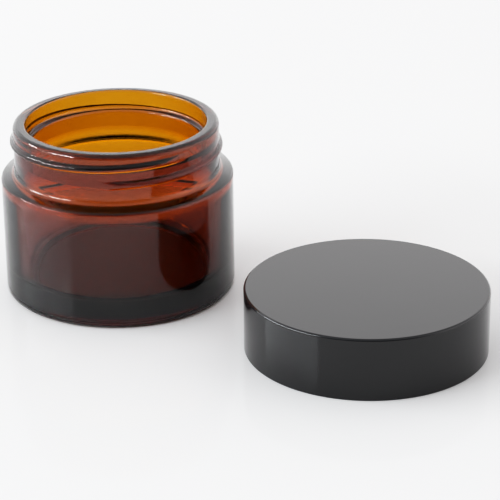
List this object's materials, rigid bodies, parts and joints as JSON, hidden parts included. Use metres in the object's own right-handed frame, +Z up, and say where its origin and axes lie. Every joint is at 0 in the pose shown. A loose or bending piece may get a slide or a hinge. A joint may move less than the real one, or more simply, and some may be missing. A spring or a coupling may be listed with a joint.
{
  "type": "cosmetic cream jar",
  "caption": "Thick amber glass cream jar with a screw neck, open, and its low black screw lid lying top up beside it.",
  "frame": {"origin": "on the jar's axis, on the surface that the jar and the lid stand on", "axes": "+Z up along the jar's axis, +X from the jar's axis to the lid's axis"},
  "size_m": [0.1292, 0.058, 0.0434],
  "materials": {
    "amber_glass": "clear fire-polished amber glass",
    "shell_black": "smooth black, satin gloss",
    "insert_black": "moulded black, matt",
    "liner_foam": "white closed-cell foam"
  },
  "bodies": {
    "jar": {"glass_jar": "amber_glass"},
    "liner": {"sealing_liner": "liner_foam"},
    "lid": {"lid_outer_shell": "shell_black", "lid_threaded_insert": "insert_black"}
  },
  "joints": [
    {"name": "lid_lift", "type": "slide", "parent": "jar", "child": "liner", "axis": [0, 0, 1], "range_m": [0, 0.05]},
    {"name": "lid_turn", "type": "hinge", "parent": "liner", "child": "lid", "pos_m": [0.0714, 0, 0], "axis": [0, 0, 1], "continuous": true}
  ]
}
